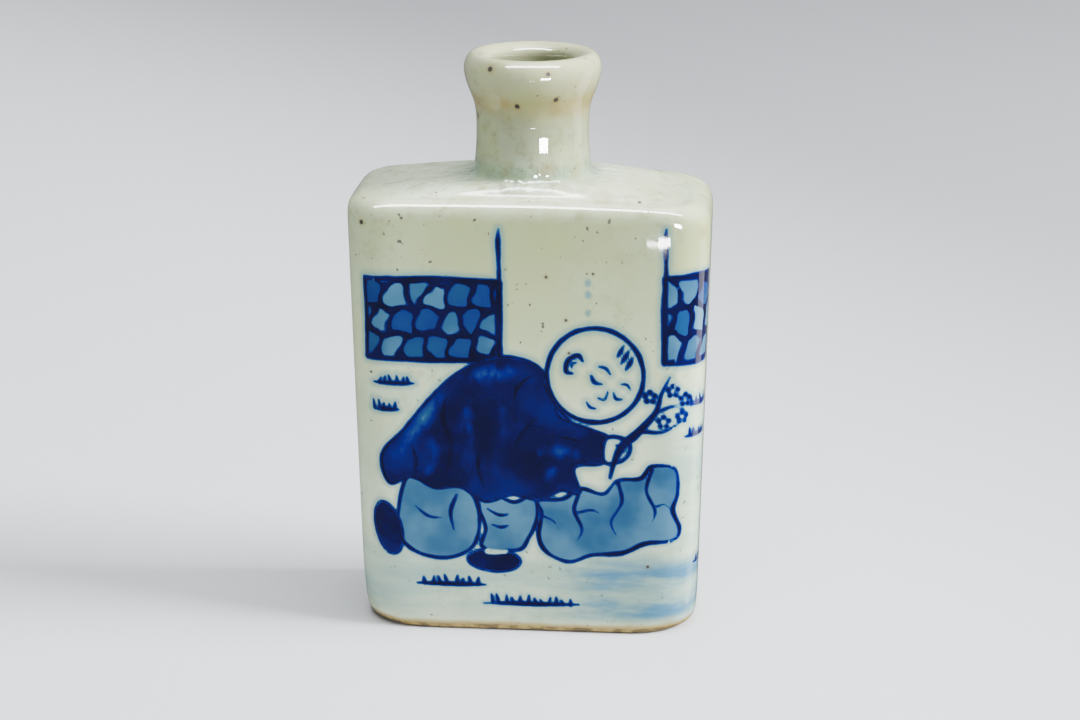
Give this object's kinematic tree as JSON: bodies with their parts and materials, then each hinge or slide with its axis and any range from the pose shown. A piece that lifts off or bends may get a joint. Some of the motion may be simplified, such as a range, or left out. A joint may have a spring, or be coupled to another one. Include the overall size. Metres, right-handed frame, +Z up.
{
  "type": "porcelain snuff bottle",
  "caption": "Small hollow rectangular porcelain flask with rounded corners, a short round neck and a rolled lip, glazed and painted in underglaze blue.",
  "frame": {"origin": "on the table, under the middle of the foot", "axes": "+Z up along the neck, front face towards -Y, +X along the body's width"},
  "size_m": [0.0444, 0.022, 0.0722],
  "materials": {
    "porcelain": "glossy greenish white glaze over an underglaze blue picture, bare buff body at the foot's edge"
  },
  "bodies": {
    "root": {"bottle": "porcelain"}
  },
  "joints": []
}
